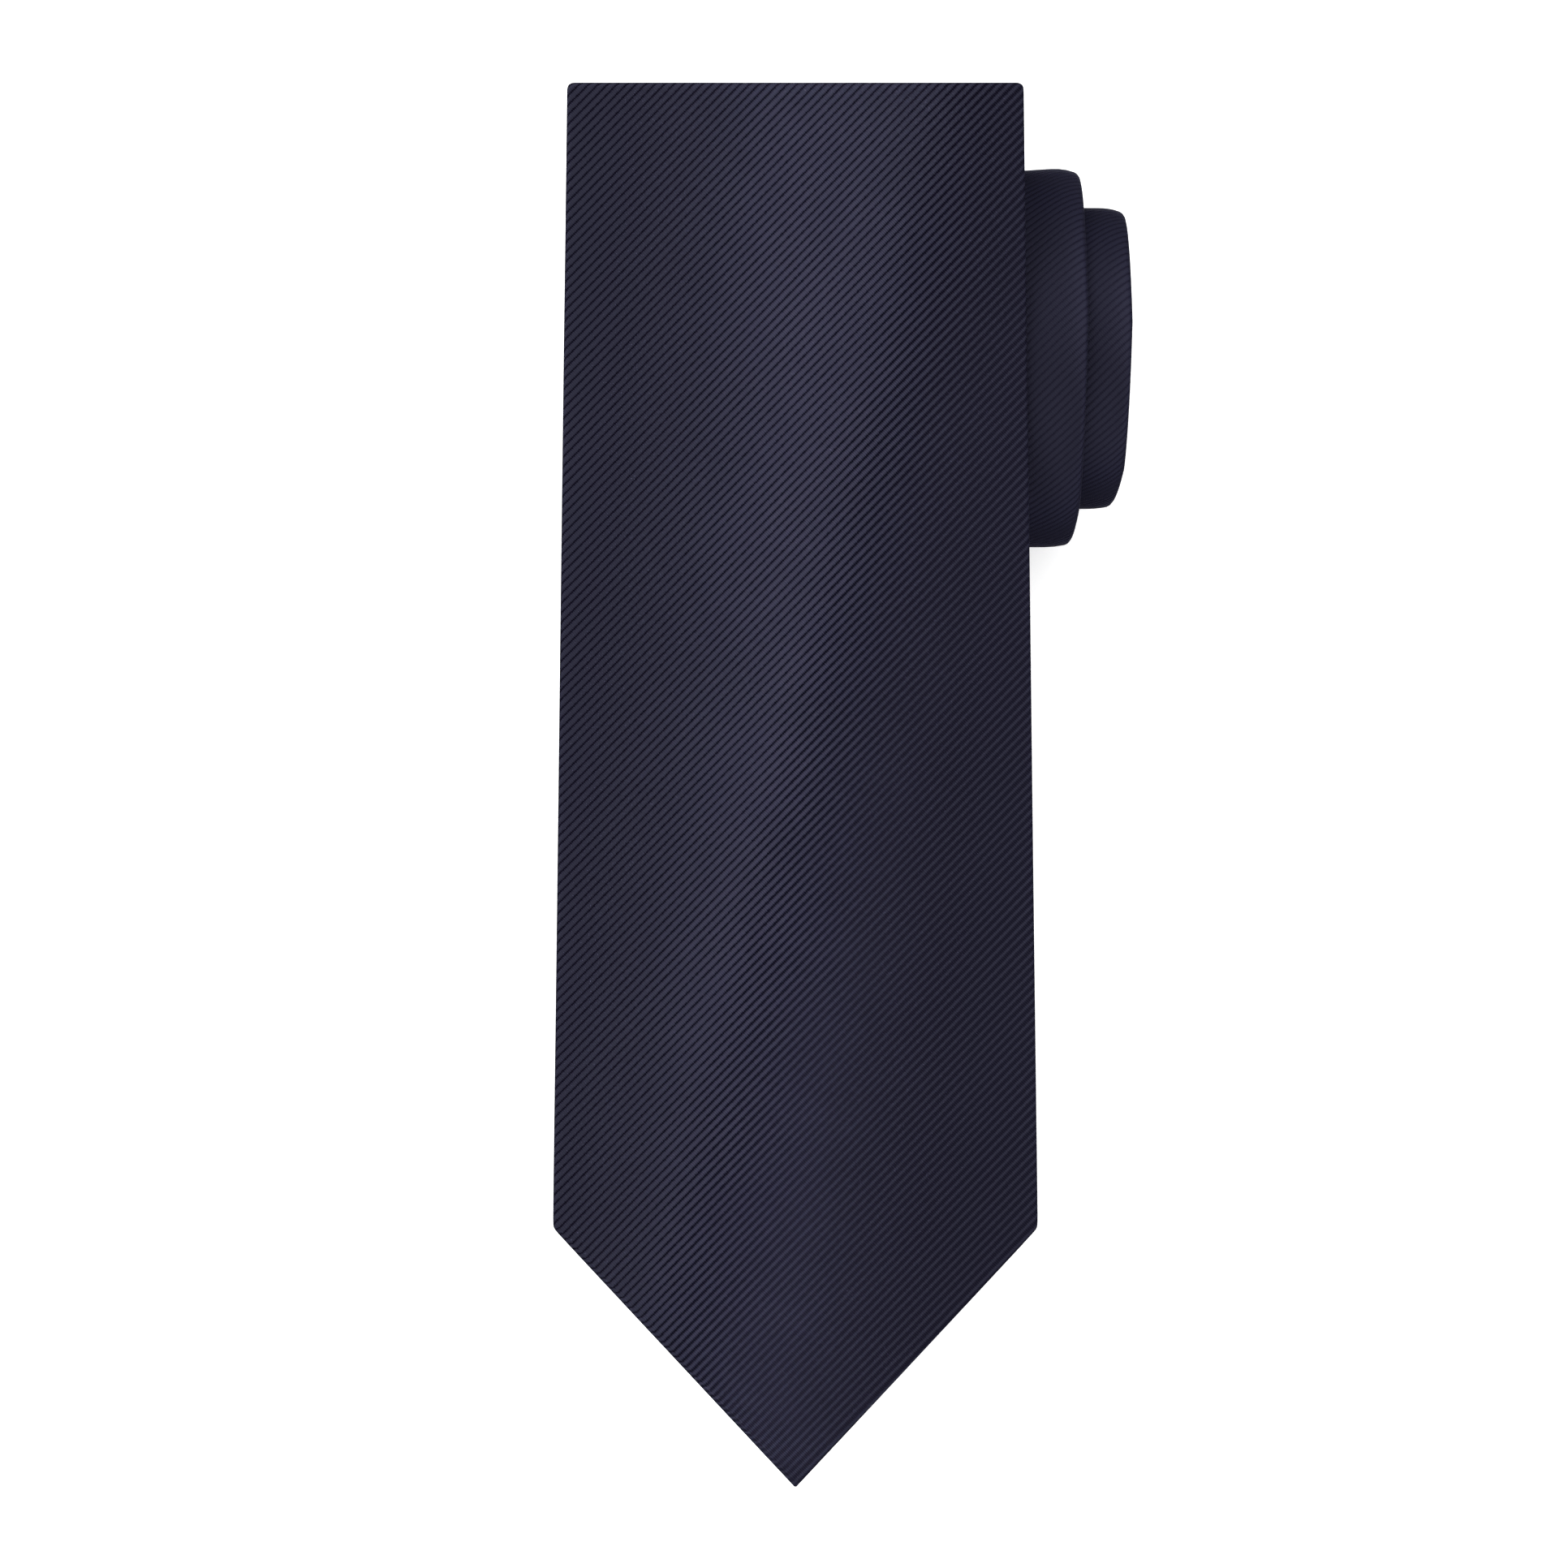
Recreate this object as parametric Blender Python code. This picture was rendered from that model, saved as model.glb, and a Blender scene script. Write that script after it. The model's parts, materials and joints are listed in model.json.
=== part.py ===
"""A full-length silk necktie, rolled up from the tail with its front blade laid over the roll.

Metres, +Z up.  The tie rests on z = 0: the roll lies along X, and the front blade slopes from its
pressed crease down to its point, towards -Y.

One strip of cloth makes the whole tie.  A place in it is given by three numbers:
    s      the distance along the strip from the front blade's point
    x      the distance across it, to the right
    depth  the distance below its face side, from 0 at the face to THICKNESS at the back
"""

import math

import bmesh
import bpy
from mathutils import Vector

# The cloth
SILK = 0.00035            # the twill, one layer
INTERLINING = 0.0007      # the wool interlining
CLEARANCE = 0.0003        # between neighbouring pieces
THREAD = 0.00035          # the slip stitch, across
THICKNESS = 2 * SILK + INTERLINING + 2 * CLEARANCE

# The front blade, from its point to the crease
BLADE_LENGTH = 0.2465
POINT_LENGTH = 0.0456     # from the point to the shoulders
SHOULDER_HALF = 0.0425    # half of the width, here and below
CREASE_HALF = 0.0398
NECK_HALF = 0.0175
TAIL_HALF = 0.0210
TAIL_POINT_LENGTH = 0.0200
EDGE_ROUND = 0.0009       # the rounding of a folded edge
HEM = 0.0090              # the silk turned over behind the point
FLAP_OPENING = 0.0850     # from the point to where the two back flaps meet
TAIL_OPENING = 0.0450
TACK_LENGTH = 0.0010      # a bar tack, along the strip

# The roll
ROLL_TO_CREASE = 0.0480   # from the roll's centre to the crease, along the blade
OUTER_HALF_DEPTH = 0.0345 # the first turn's half depth, along Y
OUTER_HEIGHT = 0.0585     # the first turn's top, above the table
SECOND_STEP_IN = 0.0070   # how much less the second turn's half depth is than the first's
SECOND_DROP = 0.0045      # the second turn's top, below the first's
THIRD_STEP_IN = 0.0029
THIRD_DROP = 0.0030       # the third turn's top, below the second's
TURN_GAP = 0.0003         # between the turns of the core
CORE_OPENING = 0.00675    # left open inside the last turn
REST_SAG = 0.0030         # how far the first turn is pressed flat on the table
STEPS = 16                # facets in a turn
TURN_PITCH = THICKNESS + TURN_GAP
SECOND_HALF_DEPTH = OUTER_HALF_DEPTH - SECOND_STEP_IN
THIRD_HALF_DEPTH = SECOND_HALF_DEPTH - THIRD_STEP_IN
THIRD_TOP = OUTER_HEIGHT - SECOND_DROP - THIRD_DROP

# Where the strip's right edge runs, by turn: it creeps to the right as the roll telescopes
RIGHT_EDGE = [(-0.50, 0.0393), (-0.25, 0.0440), (0.00, 0.0506), (0.25, 0.0514), (0.50, 0.0516),
              (0.75, 0.0555), (1.00, 0.0590), (1.25, 0.0595), (1.50, 0.0592), (2.00, 0.0565)]
CORE_CENTRE = 0.0375      # the middle of the neck and the tail inside the roll

# The strip is rolled for as many turns as the roll has room for: along Y, and up and down.
CORE_TURN = 2.0           # where the core starts
TURNS_IN_DEPTH = CORE_TURN + (THIRD_HALF_DEPTH - THICKNESS - CORE_OPENING / 2) / TURN_PITCH
TURNS_IN_HEIGHT = 1.0 + (THIRD_TOP - 2 * THICKNESS - CORE_OPENING) / (2 * TURN_PITCH)
ROLL_TURNS = min(TURNS_IN_DEPTH, TURNS_IN_HEIGHT)

# Seams across the neck
NECK_SEAM_TURN = CORE_TURN
TAIL_SEAM_TURN = 4.0
SEAM_LENGTH = 0.0012

# What is sewn to the blade's back: the keeper loop and the labels
LOOP_FROM_POINT = 0.1380
LOOP_WIDTH = 0.0140       # along the blade
LOOP_PASSAGE = 0.0022     # clear height, for the tail to pass
LOOP_CLOTH = 0.0006
LOOP_FOOT = 0.0050
LABEL_FROM_POINT = 0.1040
LABEL_HALF = 0.0210
LABEL_HEIGHT = 0.0240
LABEL_CLOTH = 0.0005
CARE_HALF = 0.0090
CARE_HEIGHT = 0.0090


def clear_scene():
    for obj in list(bpy.data.objects):
        bpy.data.objects.remove(obj, do_unlink=True)


def material(name, colour, roughness, sheen=0.0):
    """A Principled BSDF in one colour, given as linear red, green and blue."""
    made = bpy.data.materials.new(name)
    made.use_nodes = True
    shader = made.node_tree.nodes["Principled BSDF"]
    shader.inputs["Base Color"].default_value = (*colour, 1.0)
    shader.inputs["Roughness"].default_value = roughness
    shader.inputs["Metallic"].default_value = 0.0
    shader.inputs["Sheen Weight"].default_value = sheen
    return made


# ---------------------------------------------------------------- the strip's path

def between(table, at):
    """The value at a place in a table of (place, value), on straight lines between its rows."""
    if at <= table[0][0]:
        return table[0][1]
    for (a, low), (b, high) in zip(table, table[1:]):
        if at <= b:
            return low + (high - low) * (at - a) / (b - a)
    return table[-1][1]


def turn_bottom(turn):
    """The height of a turn's underside, which steps up by one pitch each time round."""
    place = turn + 0.25
    nearest = round(place)
    off = place - nearest
    flat = 1 / STEPS
    rise = math.copysign(max(0.0, abs(off) - flat) * 0.5 / (0.5 - flat), off)
    return max(0.0, (nearest + rise) * TURN_PITCH)


def turn_top(turn):
    if turn > 2.25:
        return THIRD_TOP - (turn - 2.25) * TURN_PITCH
    return between([(0.25, OUTER_HEIGHT), (1.25, OUTER_HEIGHT - SECOND_DROP), (2.25, THIRD_TOP)],
                   turn)


def turn_half_depth(turn):
    if turn > CORE_TURN:
        return THIRD_HALF_DEPTH - (turn - CORE_TURN) * TURN_PITCH
    return between([(-0.5, OUTER_HALF_DEPTH + TURN_PITCH), (0.0, OUTER_HALF_DEPTH),
                    (0.5, OUTER_HALF_DEPTH), (1.0, SECOND_HALF_DEPTH), (1.5, SECOND_HALF_DEPTH),
                    (CORE_TURN, THIRD_HALF_DEPTH)], turn)


def turn_point(turn):
    """The face side of the roll: y from the roll's centre, and z.  Turn 0 is at its front."""
    angle = 2 * math.pi * (turn + 0.75)
    bottom = turn_bottom(turn)
    top = turn_top(turn)
    sag = REST_SAG * (top - bottom) / OUTER_HEIGHT
    middle = (top + bottom - sag) / 2
    height = (top - bottom + sag) / 2
    z = max(bottom, middle + height * math.cos(angle))
    return Vector((0.0, turn_half_depth(turn) * math.sin(angle), z))


def highest_towards(normal):
    """How far the first turn reaches along a direction in the YZ plane."""
    return max(turn_point(i / 200).dot(normal) for i in range(101))


def settle_blade():
    """The blade's slope, and its crease: the blade lies on the roll with its point on the table."""
    slope = 0.3
    for _ in range(60):
        up = Vector((0.0, math.cos(slope), math.sin(slope)))
        normal = Vector((0.0, -math.sin(slope), math.cos(slope)))
        face = highest_towards(normal) + CLEARANCE + THICKNESS
        # The roll's middle, half way up, is ROLL_TO_CREASE below the crease along the blade.
        middle = Vector((0.0, 0.0, OUTER_HEIGHT / 2))
        crease = up * (middle.dot(up) + ROLL_TO_CREASE) + normal * face
        point_back = crease - up * BLADE_LENGTH - normal * THICKNESS
        slope += point_back.z / BLADE_LENGTH
    return slope, crease


SLOPE, CREASE = settle_blade()


def stations():
    """The strip from the crease to the tail's point: face side, inward mitre, distance and turn."""
    turns = [-0.5 + i / STEPS for i in range(round((ROLL_TURNS + 0.5) * STEPS) + 1)]
    points = [CREASE] + [turn_point(turn) for turn in turns]
    blade_inward = Vector((0.0, math.sin(SLOPE), -math.cos(SLOPE)))
    inward = [blade_inward]
    for a, b in zip(points, points[1:]):
        along = (b - a).normalized()
        inward.append(Vector((0.0, along.z, -along.y)))
    mitres = []
    for before, after in zip(inward, inward[1:] + inward[-1:]):
        mitres.append((before + after) / (1 + before.dot(after)))
    middles = [p + m * THICKNESS / 2 for p, m in zip(points, mitres)]
    distance = BLADE_LENGTH
    found = []
    for i, (point, mitre) in enumerate(zip(points, mitres)):
        if i:
            distance += (middles[i] - middles[i - 1]).length
        found.append((distance, point, mitre, turns[i - 1] if i else -0.75))
    return found


STATIONS = stations()
LENGTH = STATIONS[-1][0]


def at_distance(s):
    """The face side, the inward mitre and the turn at a distance along the rolled strip."""
    for (s0, p0, m0, t0), (s1, p1, m1, t1) in zip(STATIONS, STATIONS[1:]):
        if s <= s1:
            share = (s - s0) / (s1 - s0)
            return p0.lerp(p1, share), m0.lerp(m1, share), t0 + (t1 - t0) * share
    return STATIONS[-1][1], STATIONS[-1][2], STATIONS[-1][3]


def distance_at(turn):
    """The distance along the strip at a turn."""
    for (s0, _, _, t0), (s1, _, _, t1) in zip(STATIONS, STATIONS[1:]):
        if turn <= t1:
            return s0 + (s1 - s0) * (turn - t0) / (t1 - t0)
    return LENGTH


NECK_SEAM = distance_at(NECK_SEAM_TURN)
TAIL_SEAM = distance_at(TAIL_SEAM_TURN)


# ---------------------------------------------------------------- the strip's outline

def half_width(s):
    """Half of the tie's width at a distance from the front blade's point."""
    if s < POINT_LENGTH:
        return SHOULDER_HALF * s / POINT_LENGTH
    taper = (SHOULDER_HALF - CREASE_HALF) / (BLADE_LENGTH - POINT_LENGTH)
    if s < BLADE_LENGTH:
        return SHOULDER_HALF - taper * (s - POINT_LENGTH)
    if s < NECK_SEAM:
        span = NECK_SEAM - BLADE_LENGTH
        t = (s - BLADE_LENGTH) / span
        start = (2 * t**3 - 3 * t**2 + 1) * CREASE_HALF
        leaving = (t**3 - 2 * t**2 + t) * -taper * span
        end = (3 * t**2 - 2 * t**3) * NECK_HALF
        return start + leaving + end
    if s < TAIL_SEAM:
        return NECK_HALF
    shoulder = LENGTH - TAIL_POINT_LENGTH
    if s < shoulder:
        return NECK_HALF + (TAIL_HALF - NECK_HALF) * (s - TAIL_SEAM) / (shoulder - TAIL_SEAM)
    blunt = 0.18
    return TAIL_HALF * (1 - (1 - blunt) * (s - shoulder) / TAIL_POINT_LENGTH)


def centre_line(s):
    """Where the strip's middle lies along X."""
    turn = at_distance(s)[2]
    if turn < -0.5:
        share = (turn + 0.75) / 0.25
        return (RIGHT_EDGE[0][1] - half_width(distance_at(-0.5))) * share
    if turn < CORE_TURN:
        return between(RIGHT_EDGE, turn) - half_width(s)
    seam_centre = RIGHT_EDGE[-1][1] - NECK_HALF
    return between([(CORE_TURN, seam_centre), (CORE_TURN + 1.0, CORE_CENTRE)], turn)


def slot_half(s):
    """Half of the opening between the two back flaps: a slot, and a V near the tail's point."""
    slot = THREAD / 2 + CLEARANCE
    start = LENGTH - TAIL_OPENING
    if s < start:
        return slot
    widest = TAIL_HALF - HEM
    opened = slot + (widest - slot) * (s - start) / (TAIL_OPENING - TAIL_POINT_LENGTH)
    return min(opened, 0.5 * half_width(s))


# ---------------------------------------------------------------- sections across the strip

def silk_section(s):
    """The folded silk: a flat tube with the slot along the middle of its back."""
    half = half_width(s)
    shoulder = half - EDGE_ROUND
    inner = half - EDGE_ROUND
    slot = slot_half(s)
    right = [(shoulder, 0.0), (half, THICKNESS / 2), (shoulder, THICKNESS), (slot, THICKNESS),
             (slot, THICKNESS - SILK), (inner, THICKNESS - SILK), (inner, SILK)]
    return right + [(-x, depth) for x, depth in reversed(right)]


def slab_section(half, top, bottom):
    return [(half, top), (half, bottom), (-half, bottom), (-half, top)]


def interlining_section(s):
    half = half_width(s) - EDGE_ROUND - CLEARANCE
    top = SILK + CLEARANCE
    return slab_section(half, top, top + INTERLINING)


def thread_section(_):
    return slab_section(THREAD / 2, THICKNESS - THREAD, THICKNESS)


def slot_filling_section(s):
    return slab_section(slot_half(s) - CLEARANCE, THICKNESS - SILK, THICKNESS)


# ---------------------------------------------------------------- making the solids

def loft(name, rings, parent, finish):
    """One closed solid through a row of rings with the same number of points."""
    bm = bmesh.new()
    loops = []
    for ring in rings:
        verts = [bm.verts.new(point) for point in ring]
        loops.append([bm.edges.new((a, b)) for a, b in zip(verts, verts[1:] + verts[:1])])
    for first, second in zip(loops, loops[1:]):
        bmesh.ops.bridge_loops(bm, edges=first + second)
    bmesh.ops.edgeloop_fill(bm, edges=loops[0])
    bmesh.ops.edgeloop_fill(bm, edges=loops[-1])
    bmesh.ops.recalc_face_normals(bm, faces=bm.faces[:])
    mesh = bpy.data.meshes.new(name)
    bm.to_mesh(mesh)
    bm.free()
    obj = bpy.data.objects.new(name, mesh)
    bpy.context.scene.collection.objects.link(obj)
    obj.parent = parent
    if finish:
        mesh.materials.append(finish)
    return obj


def sweep(name, start, end, section, parent, finish):
    """A section carried along the rolled strip from one distance to another."""
    shortest = 0.0002
    places = [start]
    places += [s for s, _, _, _ in STATIONS if start + shortest < s < end - shortest]
    places.append(end)
    rings = []
    for s in places:
        face, mitre, _ = at_distance(s)
        middle = centre_line(s)
        ring = []
        for x, depth in section(s):
            ring.append(face + mitre * depth + Vector((middle + x, 0.0, 0.0)) - parent.location)
        rings.append(ring)
    return loft(name, rings, parent, finish)


def crease_end(depth):
    """The distance at which the blade stops short of the crease: its end is mitred."""
    mitre = STATIONS[0][2]
    up = Vector((0.0, math.cos(SLOPE), math.sin(SLOPE)))
    return BLADE_LENGTH + mitre.dot(up) * depth - CLEARANCE / 2


def blade_plate(name, outline, top, bottom, parent, finish):
    """A flat piece of the blade between two depths.  Its outline gives (x, s) for a depth."""
    rings = []
    for depth in (top, bottom):
        rings.append([Vector((x, s - BLADE_LENGTH, -depth)) for x, s in outline(depth)])
    return loft(name, rings, parent, finish)


def blade_outline(inset, start=0.0, end=crease_end):
    """The blade's outline, drawn in by inset from its long edges and its point."""
    def outline(depth):
        last = end(depth)
        slant = math.hypot(POINT_LENGTH, SHOULDER_HALF) / SHOULDER_HALF
        first = max(inset * slant, start)
        first_half = half_width(first) - inset * slant * SHOULDER_HALF / POINT_LENGTH
        side = [(half_width(POINT_LENGTH) - inset, POINT_LENGTH), (half_width(last) - inset, last)]
        if first_half > inset:
            side.insert(0, (first_half, first))
            return side + [(-x, s) for x, s in reversed(side)]
        return [(0.0, first)] + side + [(-x, s) for x, s in reversed(side)]
    return outline


def past_crease(_):
    """An end beyond the crease, for a cutter."""
    return BLADE_LENGTH + 0.005


def opening_outline(inset):
    """The V between the flaps: a kite from the bar tack down to the hem."""
    rise = SHOULDER_HALF / POINT_LENGTH
    low = HEM / math.sin(math.atan(rise))
    corner = POINT_LENGTH + 0.0024
    wide = (corner - low) * rise
    slot = THREAD / 2 + CLEARANCE
    corners = [(0.0, low + 1.5 * inset), (wide - 1.5 * inset, corner),
               (slot - inset, FLAP_OPENING)]
    return corners + [(-x, s) for x, s in reversed(corners[1:])]


def round_edges(obj, chosen, radius, segments):
    """Rounds the mesh edges that the test chooses by their two ends."""
    bm = bmesh.new()
    bm.from_mesh(obj.data)
    edges = [edge for edge in bm.edges if chosen(edge.verts[0].co, edge.verts[1].co)]
    bmesh.ops.bevel(bm, geom=edges, offset=radius, segments=segments, profile=0.5,
                    affect="EDGES", clamp_overlap=True)
    bm.to_mesh(obj.data)
    bm.free()


def cut(obj, cutter):
    cutter.hide_render = True
    cutter.display_type = "WIRE"
    modifier = obj.modifiers.new("cut_" + cutter.name, "BOOLEAN")
    modifier.operation = "DIFFERENCE"
    modifier.solver = "EXACT"
    modifier.object = cutter


def patch(name, half, start, end, top, bottom, parent, finish):
    """A rectangular piece across the blade, between two distances and two depths."""
    corners = [(half, start), (half, end), (-half, end), (-half, start)]
    return blade_plate(name, lambda _: corners, top, bottom, parent, finish)


# ---------------------------------------------------------------- the tie's pieces

def empty(name, place, tilt=0.0):
    made = bpy.data.objects.new(name, None)
    made.location = place
    made.rotation_euler = (tilt, 0.0, 0.0)
    bpy.context.scene.collection.objects.link(made)
    return made


def front_blade(hinge, finishes):
    """The front blade: silk, interlining, tipping and threads, hinged at the crease."""
    silk = blade_plate("front_blade_silk", blade_outline(0.0), 0.0, THICKNESS, hinge,
                       finishes["silk"])
    end = BLADE_LENGTH - crease_end(THICKNESS) + CLEARANCE
    round_edges(silk, lambda a, b: abs(a.z - b.z) < 1e-6 and min(a.y, b.y) < -end - 1e-6,
                EDGE_ROUND, 2)
    cavity = blade_plate("blade_cavity", blade_outline(EDGE_ROUND, end=past_crease), SILK,
                         THICKNESS - SILK, hinge, None)
    cut(silk, cavity)
    slot = THREAD / 2 + CLEARANCE
    below = THICKNESS + SILK
    cut(silk, patch("slot_cutter", slot, FLAP_OPENING - CLEARANCE, past_crease(0.0),
                    THICKNESS - 2 * SILK, below, hinge, None))
    cut(silk, blade_plate("flap_opening", lambda _: opening_outline(0.0),
                          THICKNESS - 2 * SILK, below, hinge, None))
    lining_top = SILK + CLEARANCE
    blade_plate("interlining_blade", blade_outline(EDGE_ROUND + CLEARANCE, start=HEM),
                lining_top, lining_top + INTERLINING, hinge, finishes["interlining"])
    blade_plate("front_tipping", lambda _: front_tipping_outline(), THICKNESS - SILK, THICKNESS,
                hinge, finishes["tipping"])
    tack_end = FLAP_OPENING - TACK_LENGTH
    tack_half = opening_half(tack_end) - 1.5 * CLEARANCE
    patch("front_bar_tack", tack_half, tack_end - TACK_LENGTH, tack_end, THICKNESS - SILK,
          THICKNESS, hinge, finishes["thread"])
    thread_start = tack_end + CLEARANCE
    corners = [(THREAD / 2, thread_start), (-THREAD / 2, thread_start)]

    def thread_outline(depth):
        last = crease_end(depth)
        return [corners[0], (THREAD / 2, last), (-THREAD / 2, last), corners[1]]

    blade_plate("slip_stitch_blade", thread_outline, THICKNESS - THREAD, THICKNESS, hinge,
                finishes["thread"])


def opening_half(s):
    """Half of the V opening's width at a distance above its widest place."""
    _, wide, top = opening_outline(0.0)[:3]
    return top[0] + (wide[0] - top[0]) * (top[1] - s) / (top[1] - wide[1])


def front_tipping_outline():
    """The satin tipping that shows between the flaps, below the bar tack."""
    low, wide = opening_outline(CLEARANCE)[:2]
    top = FLAP_OPENING - 2 * TACK_LENGTH - CLEARANCE
    side = [wide, (opening_half(top) - 1.5 * CLEARANCE, top)]
    return [low] + side + [(-x, s) for x, s in reversed(side)]


def keeper_loop(hinge, finishes):
    """The loop across the blade's back that keeps the tail, and the tacks over its two feet."""
    span = TAIL_HALF + 2 * CLEARANCE
    rise = THICKNESS + CLEARANCE + LOOP_PASSAGE
    foot = THICKNESS + CLEARANCE
    side = [(span + LOOP_FOOT, foot), (span + LOOP_FOOT, foot + LOOP_CLOTH),
            (span + LOOP_CLOTH, foot + LOOP_CLOTH), (span - LOOP_PASSAGE, rise + LOOP_CLOTH)]
    under = [(span - LOOP_PASSAGE, rise), (span, foot)]
    profile = side + [(-x, d) for x, d in reversed(side)]
    profile += [(-x, d) for x, d in reversed(under)] + under
    rings = []
    for s in (LOOP_FROM_POINT, LOOP_FROM_POINT + LOOP_WIDTH):
        rings.append([Vector((x, s - BLADE_LENGTH, -d)) for x, d in profile])
    loft("keeper_loop", rings, hinge, finishes["silk"])
    tack_top = foot + LOOP_CLOTH + CLEARANCE
    for side_name, sign in (("left", -1), ("right", 1)):
        middle = sign * (span + LOOP_CLOTH + LOOP_FOOT / 2)
        low = LOOP_FROM_POINT + 2 * CLEARANCE
        high = LOOP_FROM_POINT + LOOP_WIDTH - 2 * CLEARANCE
        corners = [(middle + THREAD, low), (middle + THREAD, high), (middle - THREAD, high),
                   (middle - THREAD, low)]
        blade_plate("keeper_loop_tack_" + side_name, lambda _, c=corners: c, tack_top,
                    tack_top + THREAD, hinge, finishes["thread"])


def labels(hinge, finishes):
    """A blank woven label and, below its edge, a small blank care label."""
    top = THICKNESS + CLEARANCE
    patch("woven_label", LABEL_HALF, LABEL_FROM_POINT, LABEL_FROM_POINT + LABEL_HEIGHT, top,
          top + LABEL_CLOTH, hinge, finishes["label"])
    care_end = LABEL_FROM_POINT - CLEARANCE
    patch("care_label", CARE_HALF, care_end - CARE_HEIGHT, care_end, top, top + LABEL_CLOTH,
          hinge, finishes["care"])
    stitch_top = top + LABEL_CLOTH + CLEARANCE
    for side_name, sign in (("left", -1), ("right", 1)):
        middle = sign * (LABEL_HALF - 4 * CLEARANCE)
        low = LABEL_FROM_POINT + 4 * CLEARANCE
        high = LABEL_FROM_POINT + LABEL_HEIGHT - 4 * CLEARANCE
        corners = [(middle + THREAD / 2, low), (middle + THREAD / 2, high),
                   (middle - THREAD / 2, high), (middle - THREAD / 2, low)]
        blade_plate("label_stitch_" + side_name, lambda _, c=corners: c, stitch_top,
                    stitch_top + THREAD, hinge, finishes["thread"])


def outer_turns(roll, finishes):
    """The rest of the front silk: down behind the roll and twice round it, to the neck seam."""
    start = BLADE_LENGTH + CLEARANCE / 2
    end = NECK_SEAM - SEAM_LENGTH / 2 - CLEARANCE
    sweep("front_blade_silk_turns", start, end, silk_section, roll, finishes["silk"])
    sweep("interlining_turns", start, NECK_SEAM, interlining_section, roll,
          finishes["interlining"])
    sweep("slip_stitch_turns", start, end, thread_section, roll, finishes["thread"])
    sweep("front_neck_seam", NECK_SEAM - SEAM_LENGTH / 2, NECK_SEAM + SEAM_LENGTH / 2,
          silk_section, roll, finishes["silk"])


def core(slide, finishes):
    """The neck and the tail, wound inside the outer turns."""
    start = NECK_SEAM + SEAM_LENGTH / 2 + CLEARANCE
    seam = SEAM_LENGTH / 2 + CLEARANCE
    sweep("neck_silk", start, TAIL_SEAM - seam, silk_section, slide, finishes["silk"])
    sweep("tail_neck_seam", TAIL_SEAM - SEAM_LENGTH / 2, TAIL_SEAM + SEAM_LENGTH / 2,
          silk_section, slide, finishes["silk"])
    sweep("tail_silk", TAIL_SEAM + seam, LENGTH, silk_section, slide, finishes["silk"])
    lining_end = LENGTH - TAIL_POINT_LENGTH / 2
    sweep("interlining_core", start, lining_end, interlining_section, slide,
          finishes["interlining"])
    opening = LENGTH - TAIL_OPENING + 4 * TACK_LENGTH
    sweep("slip_stitch_core", start, opening - CLEARANCE, thread_section, slide,
          finishes["thread"])
    sweep("tail_bar_tack", opening, opening + TACK_LENGTH, slot_filling_section, slide,
          finishes["thread"])
    sweep("tail_tipping", opening + TACK_LENGTH + CLEARANCE, LENGTH - TAIL_POINT_LENGTH / 4,
          slot_filling_section, slide, finishes["tipping"])


def solids():
    return [obj for obj in bpy.context.scene.objects if obj.type == "MESH" and not obj.hide_render]


def stand_on_origin(tops):
    """Moves the whole tie so that the origin is at the middle of the underside of its box."""
    bpy.context.view_layer.update()
    graph = bpy.context.evaluated_depsgraph_get()
    corners = []
    for obj in solids():
        evaluated = obj.evaluated_get(graph)
        corners += [obj.matrix_world @ vertex.co for vertex in evaluated.data.vertices]
    low = Vector(min(c[i] for c in corners) for i in range(3))
    high = Vector(max(c[i] for c in corners) for i in range(3))
    shift = Vector((-(low.x + high.x) / 2, -(low.y + high.y) / 2, -low.z))
    for top in tops:
        top.location += shift


def build():
    clear_scene()
    finishes = {
        "silk": material("navy_silk_twill", (0.021, 0.020, 0.036), 0.42, 0.3),
        "interlining": material("wool_interlining", (0.60, 0.56, 0.47), 0.95),
        "tipping": material("navy_satin_tipping", (0.016, 0.017, 0.033), 0.28),
        "thread": material("navy_silk_thread", (0.018, 0.018, 0.032), 0.5),
        "label": material("woven_label_cloth", (0.020, 0.020, 0.028), 0.6),
        "care": material("care_label_satin", (0.75, 0.74, 0.70), 0.5),
    }
    middle = Vector((0.0, 0.0, OUTER_HEIGHT / 2))
    hinge = empty("front_blade_hinge", CREASE, SLOPE)
    roll = empty("roll_centre", middle)
    slide = empty("inner_roll_slide", middle)
    front_blade(hinge, finishes)
    keeper_loop(hinge, finishes)
    labels(hinge, finishes)
    outer_turns(roll, finishes)
    core(slide, finishes)
    stand_on_origin([hinge, roll, slide])


build()
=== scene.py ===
import json
import math

import bpy
import numpy as np
from mathutils import Matrix, Vector, noise


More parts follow.
